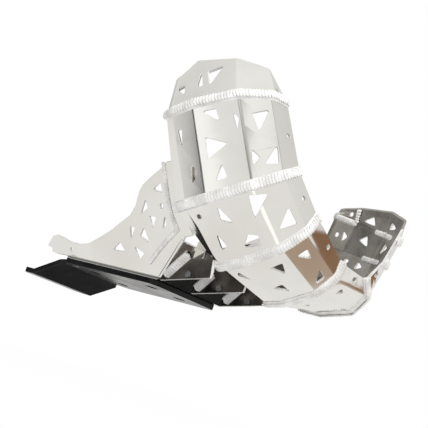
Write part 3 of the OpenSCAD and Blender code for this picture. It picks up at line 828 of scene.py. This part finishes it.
def board(name, centre, toward, up, width, height, stops, tint):
    """A studio board that only reflections see: grey steps across its width, tinted."""
    material, tree, shader = new_material(name)
    tree.nodes.remove(shader)
    place = add(tree, "ShaderNodeTexCoord").outputs["Object"]
    across = add(tree, "ShaderNodeSeparateXYZ", {"Vector": place}).outputs["X"]
    share = add(tree, "ShaderNodeMapRange", {"Value": across, "From Min": -width / 2, "From Max": width / 2})
    grey = add(tree, "ShaderNodeValToRGB", {"Fac": share.outputs["Result"]}, stops).outputs["Color"]
    toned = add(tree, "ShaderNodeVectorMath", {0: grey, 1: colour(tint)[:3]}, operation="MULTIPLY")
    glow = add(tree, "ShaderNodeEmission", {"Color": toned.outputs["Vector"]}).outputs["Emission"]
    tree.links.new(glow, tree.nodes["Material Output"].inputs["Surface"])
    obj = rectangle(name, width, height, 0, material)
    face = (Vector(toward) - Vector(centre)).normalized()
    side = Vector(up).cross(face).normalized()
    turn = Matrix((side, face.cross(side), face)).transposed()
    obj.matrix_world = Matrix.Translation(centre) @ turn.to_4x4()
    obj.visible_camera = False
    obj.visible_diffuse = False
    obj.visible_shadow = False


def floor():
    """A plain pale floor: white to the camera, with the object's faint shadow."""
    material, tree, shader = new_material("white_floor")
    shader.inputs["Base Color"].default_value = colour("#f3f3f3")
    shader.inputs["Roughness"].default_value = 1.0
    shader.inputs["Specular IOR Level"].default_value = 0.0
    lit = shader.outputs["BSDF"]
    white = add(tree, "ShaderNodeEmission", {"Strength": FLOOR_WHITE}).outputs["Emission"]
    seen = add(tree, "ShaderNodeMixShader", {"Fac": FLOOR_SHADOW, 1: white, 2: lit}).outputs["Shader"]
    mirrored = add(tree, "ShaderNodeEmission", {"Color": colour("#eeedeb")}).outputs["Emission"]
    camera_ray = add(tree, "ShaderNodeLightPath").outputs["Is Camera Ray"]
    mix = add(tree, "ShaderNodeMixShader", {"Fac": camera_ray, 1: mirrored, 2: seen}).outputs["Shader"]
    # From below it is clear, so that the object's underside can be seen.
    under = add(tree, "ShaderNodeNewGeometry").outputs["Backfacing"]
    clear = add(tree, "ShaderNodeBsdfTransparent").outputs["BSDF"]
    mix = add(tree, "ShaderNodeMixShader", {"Fac": under, 1: mix, 2: clear}).outputs["Shader"]
    tree.links.new(mix, tree.nodes["Material Output"].inputs["Surface"])
    rectangle("floor", FLOOR_SIZE, FLOOR_SIZE, FLOOR_HEIGHT, material)


def key_light():
    """A large soft key above and in front, which the sheet doesn't mirror."""
    key = bpy.data.lights.new("key", "AREA")
    key.shape = "RECTANGLE"
    key.size, key.size_y = KEY_SIZE
    key.energy = KEY_POWER
    obj = new_object("key", key)
    aim = Vector(KEY_PLACE).to_track_quat("Z", "Y").to_matrix().to_4x4()
    obj.matrix_world = Matrix.Translation(KEY_PLACE) @ aim
    obj.visible_glossy = False


class SKID_OT_stage(bpy.types.Operator):
    """Set the camera, the white surround, the floor, the studio boards and the key light"""

    bl_idname = "skid.stage"
    bl_label = "Stage"

    def execute(self, context):
        camera()
        white_world()
        floor()
        for settings in BOARDS:
            board(*settings)
        key_light()
        context.scene.view_settings.view_transform = "Standard"
        return {"FINISHED"}


OPERATORS = (SKID_OT_sheet, SKID_OT_guard, SKID_OT_welds, SKID_OT_plastic, SKID_OT_fasteners, SKID_OT_stage)


class SKID_PT_panel(bpy.types.Panel):
    """The skid plate's settings and steps"""

    bl_idname = "SKID_PT_panel"
    bl_label = "Skid plate"
    bl_space_type = "VIEW_3D"
    bl_region_type = "UI"
    bl_category = "Skid plate"

    def draw(self, context):
        props = context.scene.skid_plate
        for key in props.bl_rna.properties.keys():
            if key not in ("rna_type", "name"):
                self.layout.prop(props, key)
        for operator in OPERATORS:
            self.layout.operator(operator.bl_idname)


CLASSES = (SkidPlateSettings, *OPERATORS, SKID_PT_panel)


def register():
    """Register the settings, the operators and the panel."""
    for cls in CLASSES:
        bpy.utils.register_class(cls)
    bpy.types.Scene.skid_plate = bpy.props.PointerProperty(type=SkidPlateSettings)


def unregister():
    """Take them all out again."""
    del bpy.types.Scene.skid_plate
    for cls in reversed(CLASSES):
        bpy.utils.unregister_class(cls)


def main():
    """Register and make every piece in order."""
    register()
    bpy.ops.skid.sheet()
    bpy.ops.skid.guard()
    bpy.ops.skid.welds()
    bpy.ops.skid.plastic()
    bpy.ops.skid.fasteners()
    bpy.ops.skid.stage()


if __name__ == "__main__":
    main()
